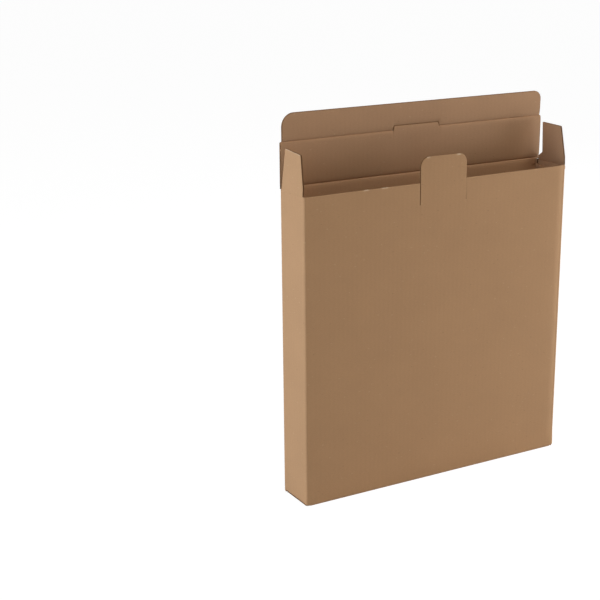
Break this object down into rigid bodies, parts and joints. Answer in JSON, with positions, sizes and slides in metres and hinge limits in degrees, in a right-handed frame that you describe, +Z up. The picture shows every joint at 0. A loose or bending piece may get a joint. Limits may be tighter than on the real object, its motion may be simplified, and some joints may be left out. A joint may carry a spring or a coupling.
{
  "type": "tuck top cardboard mailer",
  "caption": "Slim square tuck top mailer of kraft fluted board, standing open: folded tube with closed base, locking tab, hinged lid with tuck flap, and side dust flaps.",
  "frame": {"origin": "centre of the carton's outer footprint, on the surface that it stands on", "axes": "+X to the right along the front panel, +Y from the front panel to the back panel, +Z up"},
  "size_m": [0.2, 0.03, 0.2462],
  "materials": {
    "kraft_board": "matte natural kraft liner"
  },
  "bodies": {
    "carton": {"carton_body": "kraft_board"},
    "lid": {"lid": "kraft_board"},
    "tuck_flap": {"tuck_flap": "kraft_board"},
    "left_dust_flap": {"left_dust_flap": "kraft_board"},
    "right_dust_flap": {"right_dust_flap": "kraft_board"}
  },
  "joints": [
    {"name": "lid_crease", "type": "hinge", "parent": "carton", "child": "lid", "pos_m": [0, 0.0144, 0.201], "axis": [1, 0, 0], "range_deg": [-100, 10]},
    {"name": "tuck_crease", "type": "hinge", "parent": "lid", "child": "tuck_flap", "pos_m": [0, 0.0144, 0.2284], "axis": [1, 0, 0], "range_deg": [-30, 90]},
    {"name": "left_flap_crease", "type": "hinge", "parent": "carton", "child": "left_dust_flap", "pos_m": [-0.0994, 0, 0.1993], "axis": [0, 1, 0], "range_deg": [-95, 88]},
    {"name": "right_flap_crease", "type": "hinge", "parent": "carton", "child": "right_dust_flap", "pos_m": [0.0994, 0, 0.1993], "axis": [0, -1, 0], "range_deg": [-95, 88]}
  ]
}
